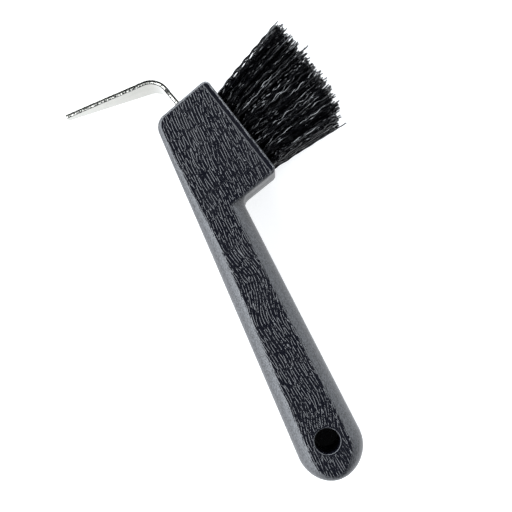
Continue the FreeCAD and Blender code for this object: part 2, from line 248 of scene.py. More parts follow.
def edge_reach():
    """Reach of the rounded edge at each sample of the outline."""
    t = smoothstep(0, 1, PLACE)
    straight = [GRIP_REACH, BOTTOM_REACH, FACE_REACH, TOP_REACH, LEFT_REACH]
    by_side = []
    for before, after in zip(straight, straight[1:]):
        by_side += [np.full_like(t, before), before + (after - before) * t]
    left = LEFT_REACH + (GRIP_REACH - LEFT_REACH) * smoothstep(*LEFT_FADE, OUTLINE[:, 1])
    end = GRIP_REACH - END_NARROWING * np.clip(NORMALS @ END_NARROWEST, 0, 1) ** 3
    reach = np.choose(SIDE, by_side + [left, end])
    neck = np.flatnonzero(SIDE == SIDES.index("neck"))
    reach[neck] = np.minimum(reach_to_line(neck, neck[0] - 1, GRIP_REACH),
                             reach_to_line(neck, neck[-1] + 2, BOTTOM_REACH))
    return reach


REACH_IN = edge_reach()
REACH_BLEND = 0.5  # the reach is averaged over the outline this near
AT_ONCE = 4000  # points compared with the outline in one go


def to_outline(points):
    """For flat points: depth inside the plan, nearest outline sample, and edge's reach there."""
    depth, reach = np.empty(len(points)), np.empty(len(points))
    nearest = np.empty(len(points), int)
    for low in range(0, len(points), AT_ONCE):
        part = points[low:low + AT_ONCE]
        gap = ((part[:, None, :] - OUTLINE[None, :, :]) ** 2).sum(axis=2)
        near = gap.argmin(axis=1)
        weight = np.exp((gap.min(axis=1, keepdims=True) - gap) / REACH_BLEND ** 2)
        nearest[low:low + AT_ONCE] = near
        reach[low:low + AT_ONCE] = weight @ REACH_IN / weight.sum(axis=1)
        depth[low:low + AT_ONCE] = ((OUTLINE[near] - part) * NORMALS[near]).sum(axis=1)
    return depth, nearest, reach


def edge_profile(depth, reach):
    """How far a rounded edge has come down, and its tilt, at a depth inside the plan."""
    radius = reach / (1 - math.sin(EDGE_TILT))
    tilt = np.arcsin(np.clip(1 - depth / radius, 0, 1))
    drop = radius * (math.cos(EDGE_TILT) - np.cos(tilt))
    rounded = depth < reach
    return np.where(rounded, drop, 0.0), np.where(rounded, tilt, 0.0)


# ---- leather grain ----
GRAIN_HEIGHT = 0.11
WRINKLE_WIDTH, WRINKLE_LENGTH = 1.05, 6.4
JITTER_ACROSS, JITTER_ALONG = 0.75, 0.9  # how irregular the wrinkles are, as a share of their spacing
STEEP_REACH, GENTLE_REACH = 0.165, 0.64  # from a crease up to the ridges right and left of it
# The grain is a little deeper on the head, and changes between these places along the handle.
NECK_TO_HEAD, GRIP_STRENGTH, HEAD_STRENGTH = (108, 128), 0.83, 0.88
# Noise fields: height, size of the features along x and along y, and layer of the lattice.
BEND, FINE_BEND, SLIP = (3.2, 34, 17, 0), (0.3, 6, 8, 1), (1.2, 6, 12, 2)
UNEVENNESS, GRIT = (0.05, 2.2, 5.0, 5), (0.08, 0.5, 1.1, 1)
LEAST_ACROSS, SNAP_PASSES = 1e-4, 2
LATTICE_SIZE = 64
LATTICE = np.random.default_rng(7).random((LATTICE_SIZE, LATTICE_SIZE, 6))


def lattice(i, j, layer):
    return LATTICE[i % LATTICE_SIZE, j % LATTICE_SIZE, layer]


def smooth_noise(x, y, layer):
    """Smooth noise from -1 to 1, with features about one unit across."""
    i, j = np.floor(x).astype(int), np.floor(y).astype(int)
    u, v = smoothstep(0, 1, x - i), smoothstep(0, 1, y - j)
    low = lattice(i, j, layer) * (1 - u) + lattice(i + 1, j, layer) * u
    high = lattice(i, j + 1, layer) * (1 - u) + lattice(i + 1, j + 1, layer) * u
    return 2 * (low * (1 - v) + high * v) - 1


def noise_field(x, y, height, size_x, size_y, layer):
    return height * smooth_noise(x / size_x, y / size_y, layer)


def to_crease(points):
    """Distance to the nearest crease between wrinkles, and the shift in x that reaches it."""
    x, y = points[:, 0], points[:, 1]
    bend = noise_field(x, y, *BEND) + noise_field(x, y, *FINE_BEND)
    slip = noise_field(x, y, *SLIP)
    place = np.stack([(x + bend) / WRINKLE_WIDTH, (y + slip) / WRINKLE_LENGTH], axis=1)
    i, j = np.floor(place).astype(int).T
    sites = []
    for a in (i - 2, i - 1, i, i + 1, i + 2):
        for b in (j - 1, j, j + 1):
            jitter_x, jitter_y = lattice(a, b, 3) - 0.5, lattice(a, b, 4) - 0.5
            sites.append(np.stack([a + 0.5 + 0.5 * (b % 2) + JITTER_ACROSS * jitter_x,
                                   b + 0.5 + JITTER_ALONG * jitter_y], axis=1))
    sites = np.array(sites)
    order = np.argsort(((sites - place) ** 2).sum(axis=2), axis=0)
    first, second = (sites[order[k], np.arange(len(points))] for k in (0, 1))
    across = second - first
    gap = (((first + second) / 2 - place) * across).sum(axis=1)
    steepness = np.hypot(across[:, 0] / WRINKLE_WIDTH, across[:, 1] / WRINKLE_LENGTH)
    sideways = np.where(np.abs(across[:, 0]) > LEAST_ACROSS, across[:, 0], LEAST_ACROSS)
    return gap / steepness, gap / sideways * WRINKLE_WIDTH


def snap_to_creases(points, limit):
    """Slide the points that are within a limit of a crease on to it, in x."""
    points = points.copy()
    near = np.arange(len(points))
    for _ in range(SNAP_PASSES):
        shift = to_crease(points[near])[1]
        close = np.abs(shift) < limit
        near = near[close]
        points[near, 0] += shift[close]
    return points


def grain(points):
    """Depth of the moulded leather grain under its ridges, as a share of its full depth."""
    x, y = points[:, 0], points[:, 1]
    gap, shift = to_crease(points)
    slope = np.clip(1 - gap / np.where(shift < 0, STEEP_REACH, GENTLE_REACH), 0, 1)
    strength = np.interp(y, NECK_TO_HEAD, (GRIP_STRENGTH, HEAD_STRENGTH))
    strength = strength + noise_field(x, y, *UNEVENNESS)
    return strength * slope - noise_field(x, y, *GRIT)


# ---- front and back faces ----
# A smooth sunken band runs beside the bristle face: where its two sides slope, and its depth.
BAND_INNER, BAND_OUTER, BAND_DEPTH = (2.8, 2.2), (0.45, 0.85), 0.28
BAND_SMOOTHNESS = 0.75  # how much of the grain the band takes away
HOLE_RIM_WIDTH, HOLE_RIM_FADE = 0.4, 0.4  # smooth ring round the hang hole, then the grain comes up
GRAIN_OVERLAP = 0.55  # how far the grain runs over the edge, as a share of its reach
PANEL_OVERLAP, PANEL_FADE = 0.24, 0.25  # the same for the panel's dark gloss, outside which the sides carry painted sheen, and how soon it is full


def bristle_face_depth(points):
    """Distance behind the bristle face, the long straight side that holds the tufts."""
    heel, nose = (np.array(CORNERS[n][0]) for n in ("heel", "nose"))
    along = unit(nose - heel)
    return (points - heel) @ np.array([-along[1], along[0]])


def face_relief(points, depth, reach):
    """How far the face rises above its plain surface, and how much of it belongs to the panel."""
    fade_in = smoothstep(-GRAIN_OVERLAP * reach, 0.0, depth - reach)
    behind = bristle_face_depth(points)
    near_face = smoothstep(*BAND_INNER, behind)
    radius = np.hypot(points[:, 0], points[:, 1])
    rim = HANG_HOLE_RADIUS + HOLE_RIM_WIDTH
    ring = smoothstep(rim, rim + HOLE_RIM_FADE, radius)
    grained = fade_in * (1 - BAND_SMOOTHNESS * near_face) * ring
    band = BAND_DEPTH * near_face * smoothstep(*BAND_OUTER, behind)
    panel = smoothstep(-PANEL_OVERLAP * reach, PANEL_FADE, depth - reach)
    return -band - grained * GRAIN_HEIGHT * grain(points), panel


FRONT_GRID, BACK_GRID = (0.165, 0.37), (1.3, 2.6)
FRONT_GAP, BACK_GAP, HOLE_GAP = 0.14, 0.8, 0.12  # from the grid to the edge's first ring or hole
SLIDE_CLEARANCE = 0.3  # nearer than this to them, grid points stay in place
FRONT_EDGE_STEPS, BACK_EDGE_STEPS = 7, 6
FINE_SHARE = 0.72  # the grid covers the rounded edge from here in, as a share of its reach
RELIEF_FADE = math.radians(35), math.radians(75)  # the grain dies out between these tilts
HOLE_SAMPLES = 120


def face_grid(spacing, share, gap):
    """Staggered points inside the edge."""
    low, high = OUTLINE.min(axis=0), OUTLINE.max(axis=0)
    xs = np.arange(low[0], high[0], spacing[0])
    ys = np.arange(low[1], high[1], spacing[1])
    x, y = np.meshgrid(xs, ys)
    x = x + (np.arange(len(ys)) % 2)[:, None] * spacing[0] / 2
    points = np.stack([x.ravel(), y.ravel()], axis=1)
    depth, _, reach = to_outline(points)
    return points[depth > reach * share + gap]


def edge_rings(shell, flat_z, out, share, steps):
    """Rounded edge as rings, innermost first. They start at this share of the reach."""
    radius = REACH_IN / (1 - math.sin(EDGE_TILT))
    start = math.asin(1 - share * (1 - math.sin(EDGE_TILT)))
    rings = []
    for angle in np.linspace(start, math.pi / 2, steps + 1):
        inset = radius * (1 - math.sin(angle))
        flat = OUTLINE - NORMALS * inset[:, None]
        height = flat_z - out * radius * (math.cos(EDGE_TILT) - math.cos(angle))
        panel = np.zeros(len(flat))
        if share < 1:
            relief, panel = face_relief(flat, inset, REACH_IN)
            fade = 1 - smoothstep(*RELIEF_FADE, angle)
            flat = flat + NORMALS * (math.sin(angle) * relief * fade)[:, None]
            height = height + math.cos(angle) * relief * fade
            panel = panel * fade
        rings.append(shell.add(np.column_stack([flat, height]), panel))
    shell.join(rings)
    return rings


def build_back(shell):
    """Rounded edge and flat back face. Returns the loop where the edge meets the wall."""
    rings = edge_rings(shell, 0.0, -1, 1.0, BACK_EDGE_STEPS)
    rim = np.array([shell.points[i][:2] for i in rings[0]])
    grid = face_grid(BACK_GRID, 1.0, BACK_GAP)
    grid_ids = shell.add(np.column_stack([grid, np.zeros(len(grid))]))
    shell.fill(np.vstack([rim, grid]), rings[0] + grid_ids, [list(range(len(rim)))],
               lambda middles: np.ones(len(middles), bool))
    return rings[-1]


def build_front(shell):
    """Rounded edge, grained face and hang hole. Returns the loop where the edge meets the wall."""
    rings = edge_rings(shell, THICKNESS, 1, FINE_SHARE, FRONT_EDGE_STEPS)
    inset = REACH_IN * FINE_SHARE
    rim = OUTLINE - NORMALS * inset[:, None]
    hole_radius = HANG_HOLE_RADIUS + HOLE_RIM_WIDTH
    hole = spokes(HOLE_SAMPLES) * hole_radius
    grid = face_grid(FRONT_GRID, FINE_SHARE, FRONT_GAP)
    grid = grid[np.hypot(grid[:, 0], grid[:, 1]) > hole_radius + HOLE_GAP]
    free = may_slide(grid, hole_radius)
    grid[free] = snap_to_creases(grid[free], FRONT_GRID[0] / 2)
    depth, nearest, reach = to_outline(grid)
    drop, tilt = edge_profile(depth, reach)
    relief, panel = face_relief(grid, depth, reach)
    shifted = grid + NORMALS[nearest] * (np.sin(tilt) * relief)[:, None]
    height = THICKNESS - drop + np.cos(tilt) * relief
    grid_ids = shell.add(np.column_stack([shifted, height]), panel)
    hole_ids = shell.add(np.column_stack([hole, np.full(len(hole), THICKNESS)]), 1.0)
    flat = np.vstack([rim, grid, hole])
    loops = [list(range(len(rim))), list(range(len(rim) + len(grid), len(flat)))]
    shell.fill(flat, rings[0] + grid_ids + hole_ids, loops,
               lambda middles: ~inside_polygon(middles, hole), (1.0, FRONT_GRID[0] / FRONT_GRID[1]))
    build_hang_hole(shell, hole_ids)
    return rings[-1]


def may_slide(grid, hole_radius):
    """Grid points that may slide without meeting the edge's first ring or the hole."""
    depth, _, reach = to_outline(grid)
    return ((depth > reach * FINE_SHARE + SLIDE_CLEARANCE)
            & (np.hypot(grid[:, 0], grid[:, 1]) > hole_radius + SLIDE_CLEARANCE))


# Hang hole from the mouth inwards: how much wider than the hole, and how far below the face.
HANG_HOLE_PROFILE = [(0.30, 0.03), (0.17, 0.12), (0.07, 0.24), (0.0, 0.42), (0.0, 6.0),
                     (0.0, HANG_HOLE_DEPTH - 0.6), (-0.18, HANG_HOLE_DEPTH - 0.18),
                     (-0.6, HANG_HOLE_DEPTH)]
HANG_HOLE_LIP = 0.4  # down to here the rim has the sides' finish and painted sheen, and the hole below it the panel's


def build_hang_hole(shell, mouth):
    """Rolled rim, wall and flat bottom of the blind hole."""
    rings = [mouth]
    for wider, below in HANG_HOLE_PROFILE:
        ring = np.column_stack([spokes(len(mouth)) * (HANG_HOLE_RADIUS + wider),
                                np.full(len(mouth), THICKNESS - below)])
        rings.append(shell.add(ring, 0.0 if below < HANG_HOLE_LIP else 1.0))
    shell.join(rings)
    shell.cap(rings[-1])


# ---- walls, with the tuft holes and the tang's slot ----
WALL_LEVELS = [0.2, 0.4, 0.475, 0.488, 0.5, 0.512, 0.525, 0.6, 0.8]  # from back edge to front
SEAM_HEIGHT, SEAM_SHARES = 0.07, {0.488: 0.4, 0.5: 1.0, 0.512: 0.4}  # mould seam, by wall level
TUFT_HOLE_SAMPLES, TUFT_LIP_WIDTH, TUFT_LIP_DEPTH = 20, 0.12, 0.15
COLLAR_SPREAD, COLLAR_FOOT_CORNER = 0.18, 0.5
# Rings up the collar: how far inside its outer size, corner radius, and height above the head.
COLLAR_RINGS = [(0.0, 0.42, 0.5), (0.05, 0.38, COLLAR_HEIGHT - 0.12), (0.2, 0.25, COLLAR_HEIGHT)]
SLOT_CORNER = 0.08


def side_range(name):
    """First and last outline sample of one straight side."""
    found = np.flatnonzero(SIDE == SIDES.index(name))
    return found[0], found[-1] + 1


def pick_matrix():
    """Where the shank leaves the head's top edge. Local +Y runs along it, +Z across the strip."""
    crown, nose = (np.array(CORNERS[n][0]) for n in ("crown", "nose"))
    root_y = nose[1] + (nose[1] - crown[1]) / (nose[0] - crown[0]) * (PICK_ROOT_X - nose[0])
    root = Vector((PICK_ROOT_X, root_y, THICKNESS / 2))
    return Matrix.Translation(root) @ Matrix.Rotation(math.radians(PICK_LEAN), 4, "Z")


def tuft_matrix(column, row):
    """A tuft's place on the bristle face. Local +Z is its way out, local X is across the rows."""
    heel, nose = (Vector(CORNERS[n][0] + (0.0,)) for n in ("heel", "nose"))
    along = (nose - heel).normalized() * (FIRST_TUFT + column * COLUMN_PITCH)
    height = THICKNESS / 2 + (row - (ROWS - 1) / 2) * ROW_PITCH
    angle = math.radians(FIRST_FAN + (LAST_FAN - FIRST_FAN) * column / (COLUMNS - 1))
    out = Vector((math.cos(angle), math.sin(angle), 0))
    up = Vector((0, 0, 1))
    side = up.cross(out)
    basis = Matrix((side, up, out)).transposed().to_4x4()
    return Matrix.Translation(heel + along + up * height) @ basis


class WallPlane:
    """A flat stretch of wall, with a coordinate along it."""

    EDGE = 0.12  # how near its ends a hole may come

    def __init__(self, first, last):
        self.start = Vector((*OUTLINE[first], 0.0))
        reach = Vector((*OUTLINE[last], 0.0)) - self.start
        self.length, self.along = reach.length, reach.normalized()
        self.normal = Vector((*NORMALS[first + 1], 0.0))

    def meet(self, point, direction):
        """Slide a point along a direction to the wall, and keep it between the wall's ends."""
        distance = (self.start - point).dot(self.normal) / direction.dot(self.normal)
        met = point + direction * distance
        place = (met - self.start).dot(self.along)
        return met + self.along * (min(max(place, self.EDGE), self.length - self.EDGE) - place)

    def flatten(self, point):
        """A point as (distance along the wall, height)."""
        return ((Vector(point) - self.start).dot(self.along), point[2])


def build_walls(shell, front_loop, back_loop):
    count = len(OUTLINE)
    face, top = side_range("bristle_face"), side_range("head_top")
    patched = set(range(face[0] + 1, face[1])) | set(range(top[0] + 1, top[1]))
    columns = {}
    for i in range(count):
        if i in patched:
            continue
        low, high = (np.array(shell.points[loop[i]]) for loop in (back_loop, front_loop))
        ids = [back_loop[i]]
        for level in WALL_LEVELS:
            point = low + (high - low) * level
            point[:2] += NORMALS[i] * SEAM_HEIGHT * SEAM_SHARES.get(level, 0.0)
            ids += shell.add([point])
        columns[i] = ids + [front_loop[i]]
    for i in range(count):
        j = (i + 1) % count
        if i in columns and j in columns and (i, j) not in (face, top):
            shell.bridge(columns[i], columns[j], closed=False)
    build_patch(shell, face, columns, front_loop, back_loop, tuft_hole_loops)
    build_patch(shell, top, columns, front_loop, back_loop, slot_loops)


def build_patch(shell, ends, columns, front_loop, back_loop, make_holes):
    """A flat stretch of wall with holes in it, between two columns of the ordinary wall."""
    first, last = ends
    wall = WallPlane(first, last)
    ids = ([front_loop[i] for i in range(first, last + 1)] + columns[last][1:-1][::-1]
           + [back_loop[i] for i in range(last, first - 1, -1)] + columns[first][1:-1])
    loops, holes = [list(range(len(ids)))], make_holes(shell, wall)
    for ring in holes:
        loops.append(list(range(len(ids), len(ids) + len(ring))))
        ids = ids + ring
    flat = np.array([wall.flatten(shell.points[i]) for i in ids])

    def outside_holes(middles):
        return ~np.any([inside_polygon(middles, flat[loop]) for loop in loops[1:]], axis=0)

    shell.fill(flat, ids, loops, outside_holes)


def inside_polygon(points, ring):
    """Which flat points are inside a closed ring."""
    after = np.roll(ring, -1, axis=0)
    x, y = points[:, :1], points[:, 1:]
    rise = np.where(after[:, 1] == ring[:, 1], 1.0, after[:, 1] - ring[:, 1])
    spans = (ring[:, 1] > y) != (after[:, 1] > y)
    crossing = ring[:, 0] + (after[:, 0] - ring[:, 0]) * (y - ring[:, 1]) / rise
    return (spans & (x < crossing)).sum(axis=1) % 2 == 1


def tuft_hole_loops(shell, wall):
    """Cut the blind tuft holes. Returns their mouths."""
    circle = [Vector((x, y, 0)) for x, y in spokes(TUFT_HOLE_SAMPLES)]
    down = Vector((0, 0, TUFT_HOLE_DEPTH))
    mouths = []
    for column in range(COLUMNS):
        for row in range(ROWS):
            place = tuft_matrix(column, row)
            out = place.col[2].to_3d()
            mouth = [wall.meet(place @ (c * (TUFT_HOLE_RADIUS + TUFT_LIP_WIDTH)), out)
                     for c in circle]
            lip = [wall.meet(place @ (c * TUFT_HOLE_RADIUS), out) - out * TUFT_LIP_DEPTH
                   for c in circle]
            bottom = [place @ (c * TUFT_HOLE_RADIUS - down) for c in circle]
            ids = [shell.add(ring) for ring in (mouth, lip, bottom)]
            shell.join(ids)
            shell.cap(ids[-1])
            mouths.append(ids[0])
    return mouths


CORNER_STEPS = 4


def rounded_rectangle(half_x, half_z, corner):
    """Loop of (x, z) with rounded corners."""
    loop = []
    for quarter, (sx, sz) in enumerate(((1, 1), (-1, 1), (-1, -1), (1, -1))):
        for i in range(CORNER_STEPS + 1):
            angle = math.radians(90 * (quarter + i / CORNER_STEPS))
            loop.append((sx * (half_x - corner) + corner * math.cos(angle),
                         sz * (half_z - corner) + corner * math.sin(angle)))
    return loop


def slot_loops(shell, wall):
    """Moulded collar round the shank and the slot inside it. Returns the collar's foot."""
    place = pick_matrix()
    along = place.col[1].to_3d()
    half_x, half_z = STRIP_THICKNESS / 2, SHANK_WIDTH / 2

    def round_strip(margin, corner):
        return rounded_rectangle(half_x + margin, half_z + margin, corner)

    foot = [wall.meet(place @ Vector((x, 0, z)), along)
            for x, z in round_strip(COLLAR_MARGIN + COLLAR_SPREAD, COLLAR_FOOT_CORNER)]
    shapes = [(COLLAR_MARGIN - inset, corner, height) for inset, corner, height in COLLAR_RINGS]
    shapes += [(SLOT_CLEARANCE, SLOT_CORNER, height)
               for height in (COLLAR_HEIGHT, -TANG_LENGTH - SLOT_CLEARANCE)]
    rings = [foot] + [[place @ Vector((x, height, z)) for x, z in round_strip(margin, corner)]
                      for margin, corner, height in shapes]
    ids = [shell.add(ring) for ring in rings]
    shell.join(ids)
    shell.cap(ids[-1])
    return [ids[0]]


def build_handle():
    shell = Shell()
    front_loop = build_front(shell)
    back_loop = build_back(shell)
    build_walls(shell, front_loop, back_loop)
    return shell.to_object("moulded_handle", sharp_angle=30.0)


# ---- steel pick ----
STATION = 0.2  # spacing of the sections along the strip
# A sheared edge from face to face: rolled over, cut clean, then torn and sloping away to a burr.
EDGE_XS = [0.82, 0.7, 0.45, 0.2, 0.02, -0.05, -0.12, -0.22, -0.33, -0.44, -0.55, -0.6, -0.66, -0.8]
EDGE_HALF = 0.9  # half the thickness that these places are drawn for
TORN_START, TORN_END = (0.0, -0.1), (-0.64, -0.57)
CUT_ROLLOVER, BURR_ROLLOVER = (0.7, 0.82), (-0.66, -0.8)
CUT_ROUND, BURR_ROUND = 0.03, 0.04
BURR, TEETH_SUNK = 0.16, 0.35  # height of the torn teeth, and how far they sit below the cut
TOOTH_LENGTH, FINE_TOOTH_LENGTH, FINE_TOOTH_SHARE, TOOTH_DEPTH = 0.42, 0.2, 0.6, 0.35
FRACTURE_START, FRACTURE_LENGTH, FRACTURE_SLOPE = -0.05, 0.55, 0.5
FACE_STEPS, FACE_INSET = 8, 0.14
SWELL_HEIGHT, SWELL_LENGTH, SWELL_WIDTH = 0.012, 6.0, 5.0  # the faces aren't quite flat
TEETH_OFFSET, FINE_OFFSET, SWELL_OFFSET = 9.0, 4.0, 3.0  # keep the three noises apart
STRAINED_FROM = 0.95  # the bend shows at the edges, from this share of the half width out


def pick_stations():
    """Along the strip's middle line: x, y, turn in radians and half width."""
    turn = math.radians(BEND_ANGLE)
    bend = BEND_RADIUS * turn
    straight = TANG_LENGTH + SHANK_LENGTH
    total = straight + bend + BLADE_LENGTH
    rows = []
    count = math.ceil(total / STATION)
    for i in range(count + 1):
        s = total * i / count
        if s <= straight:
            y = s - TANG_LENGTH
            rise = np.clip((y - (SHANK_LENGTH - SHOULDER_HEIGHT)) / SHOULDER_HEIGHT, 0, 1)
            rows.append((0.0, y, 0.0, SHANK_WIDTH / 2 + (BLADE_WIDTH - SHANK_WIDTH) / 2 * rise))
            continue
        angle = min((s - straight) / BEND_RADIUS, turn)
        x = -BEND_RADIUS * (1 - math.cos(angle))
        y = SHANK_LENGTH + BEND_RADIUS * math.sin(angle)
        along = max(s - straight - bend, 0.0)
        half = (BLADE_WIDTH + (TIP_WIDTH - BLADE_WIDTH) * along / BLADE_LENGTH) / 2
        rows.append((x - along * math.sin(turn), y + along * math.cos(turn), angle, half))
    return rows


def strip_section(half, s):
    """Loop round the strip of (thickness, width, sheared) at a place along it."""
    thick = STRIP_THICKNESS / 2
    loop = []
    for side in (1, -1):
        for x in EDGE_XS[::side]:
            torn = smoothstep(*TORN_START, x) * smoothstep(*TORN_END, x)
            tooth = (noise.noise((s / TOOTH_LENGTH, side * TEETH_OFFSET, x * TOOTH_DEPTH))
                     + FINE_TOOTH_SHARE * noise.noise((s / FINE_TOOTH_LENGTH, FINE_OFFSET, side)))
            slope = FRACTURE_SLOPE * np.clip(FRACTURE_START - x, 0, FRACTURE_LENGTH)
            rough = BURR * torn * (tooth - TEETH_SUNK) - slope
            rollover = (CUT_ROUND * smoothstep(*CUT_ROLLOVER, x)
                        + BURR_ROUND * smoothstep(*BURR_ROLLOVER, x))
            loop.append((x * thick / EDGE_HALF, side * (half - rollover + rough), torn))
        xs = -thick * side
        for k in range(FACE_STEPS + 1):
            z = side * (half - FACE_INSET) * (1 - 2 * k / FACE_STEPS)
            place = (s / SWELL_LENGTH, z / SWELL_WIDTH, side * SWELL_OFFSET)
            loop.append((xs + SWELL_HEIGHT * noise.noise(place), z, 0.0))
    return loop


def build_pick():
    shell = Shell()
    place = pick_matrix()
    rows, strains = [], []
    for i, (x, y, angle, half) in enumerate(pick_stations()):
        ring, torn = [], []
        strain = math.sin(math.pi * angle / math.radians(BEND_ANGLE))
        edge = half * STRAINED_FROM
        for across, z, sheared in strip_section(half, i * STATION):
            section_x, section_y = x + across * math.cos(angle), y + across * math.sin(angle)
            ring.append(place @ Vector((section_x, section_y, z)))
            torn.append(sheared)
            strains.append(strain if abs(z) > edge else 0.0)
        rows.append(shell.add(ring, torn))
    shell.join(rows)
    shell.cap(rows[0])
    shell.cap(rows[-1])
    pick = shell.to_object("plated_pick", sharp_angle=50.0)
    set_attribute(pick.data, "strain", strains + [0.0, 0.0])  # the caps' middles come last
    return pick


# ---- bristles ----
FILAMENTS, ANGLE_SCATTER = 42, 0.25
GOLDEN_ANGLE = math.radians(137.508)
FILAMENT_RADIUS, FILAMENT_SIDES = 0.26, 5
FILAMENT_TWIST = 0.045  # radians per millimetre, typical
FILAMENT_STEP = 0.55
# Bristle length outside the head: it falls off towards the heel, by this much at the first column.
LONGEST, HEEL_SHORTER, HEEL_COLUMNS = 37.9, 5.0, 1.15
LENGTH_SCATTER, LENGTH_LOSS = 0.9, 1.3
NOSE_LEAN = 0.7  # how far the tips lean towards the nose
ROOT_GAP, FLOOR_GAP = 0.08, 0.35  # between a filament and its hole, and between it and the floor
# How a filament spreads sideways: by how much at its tip, the share of that it reaches within
# QUICK_REACH, the scatter of the tips, and how far out in the hole its root is.
INNER_SPREAD = (2.9, 0.6, 0.5, 1.0)
HEEL_SPREAD, NOSE_SPREAD = (1.5, 0.3, 0.6, 0.65), (2.7, 0.35, 0.45, 1.0)
QUICK_REACH = 7
UP_SPREAD, UP_SCATTER = 2.6, 0.45
BOW_SIDE, BOW_UP, BOW_TURNS = 0.5, 0.35, (0.7, 1.5)
NOSE_BOW = -1.9  # the outermost filaments at the nose bow inwards, and further
CRIMP_START, CRIMP_WAVE, CRIMP_DEPTH = 2.5, (4.6, 6.2), (0.10, 0.24)
DEEPER_CRIMP, DEEPER_SHARE = 0.16, 0.3  # some filaments are crimped this much deeper
CROSS_RATE, CROSS_PHASE, CROSS_SHARE = 0.53, 1.7, 0.45  # the slower wave across the crimp


def filament_line(column, number, height):
    """Middle line of one crimped filament in its tuft's own frame, root first."""
    longest = LONGEST - HEEL_SHORTER * math.exp(-column / HEEL_COLUMNS)
    ring = math.sqrt((number + 0.5) / FILAMENTS)
    angle = number * GOLDEN_ANGLE + random.gauss(0, ANGLE_SCATTER)
    side, up = ring * math.cos(angle), ring * math.sin(angle)
    reach = longest + random.gauss(0, LENGTH_SCATTER) - abs(random.gauss(0, LENGTH_LOSS))
    steps = math.ceil((TUFT_ROOT_DEPTH + reach) / FILAMENT_STEP)
    along = np.linspace(-TUFT_ROOT_DEPTH, reach, steps + 1)
    outside = np.maximum(along, 0)
    squared = 1 / max(abs(math.cos(angle)), abs(math.sin(angle)))
    bow_side, bow_up = random.gauss(0, BOW_SIDE), random.gauss(0, BOW_UP)
    spread, quick, scatter, gathered = INNER_SPREAD
    spread *= squared
    if column == 0 and side < 0:
        spread, quick, scatter, gathered = HEEL_SPREAD
        bow_side = abs(bow_side)
    if column == COLUMNS - 1 and side > 0:
        spread, quick, scatter, gathered = NOSE_SPREAD
        bow_side = NOSE_BOW * abs(bow_side)
    tip_side = side * spread + NOSE_LEAN + random.gauss(0, scatter)
    tip_up = up * squared * UP_SPREAD + random.gauss(0, UP_SCATTER)
    ease = quick * smoothstep(0, QUICK_REACH, outside) + (1 - quick) * outside / longest
    root = TUFT_HOLE_RADIUS - FILAMENT_RADIUS - ROOT_GAP
    root_side, root_up = side * root * gathered, up * root
    x = root_side + (tip_side - root_side) * ease
    y = root_up + (tip_up - root_up) * ease
    swing = np.sin(outside / longest * math.pi * random.uniform(*BOW_TURNS))
    x, y = x + bow_side * swing, y + bow_up * swing
    wave = random.uniform(*CRIMP_WAVE)
    depth = random.uniform(*CRIMP_DEPTH) + (DEEPER_CRIMP if random.random() < DEEPER_SHARE else 0.0)
    plane, phase = random.uniform(0, math.tau), random.uniform(0, math.tau)
    grow = smoothstep(0, CRIMP_START, outside) * depth
    crimp = np.sin(along / wave * math.tau + phase) * grow
    cross = np.sin(along / wave * math.tau * CROSS_RATE + phase * CROSS_PHASE) * grow * CROSS_SHARE
    x = x + crimp * math.cos(plane) - cross * math.sin(plane)
    y = y + crimp * math.sin(plane) + cross * math.cos(plane)
    y = np.clip(y, FLOOR_GAP + FILAMENT_RADIUS - height, None)
    return np.column_stack([x, y, along])


LOOSE_START, LOOSE_CRIMP, LOOSE_WAVE = 1.2, 0.16, 5.6
# By (column, row) of the tuft: where the tip ends sideways, lean, and reach outside the head.
LOOSE = {
    (0, 1): [(-3, 3, 35)],
    (0, 2): [(-2.5, 2, 6.5)],
    (7, 1): [(4.6, 0.35, 38)],
    (7, 2): [(3.6, 0.35, 39), (3, 0.35, 36)],
}


def loose_filament(tip_side, lean, reach):
    """Middle line of a filament that stands off its tuft. With lean over 1 it curls away late."""
    along = np.arange(-TUFT_ROOT_DEPTH, reach, FILAMENT_STEP)
    outside = np.clip(along, 0, None)
    start = math.copysign(min(LOOSE_START, abs(tip_side) / 3), tip_side)
    side = start + (tip_side - start) * (outside / reach) ** lean
    grow = smoothstep(0, CRIMP_START, outside)
    side += LOOSE_CRIMP * grow * np.sin(along / LOOSE_WAVE * math.tau)
    return np.column_stack([side, np.zeros(len(along)), along])


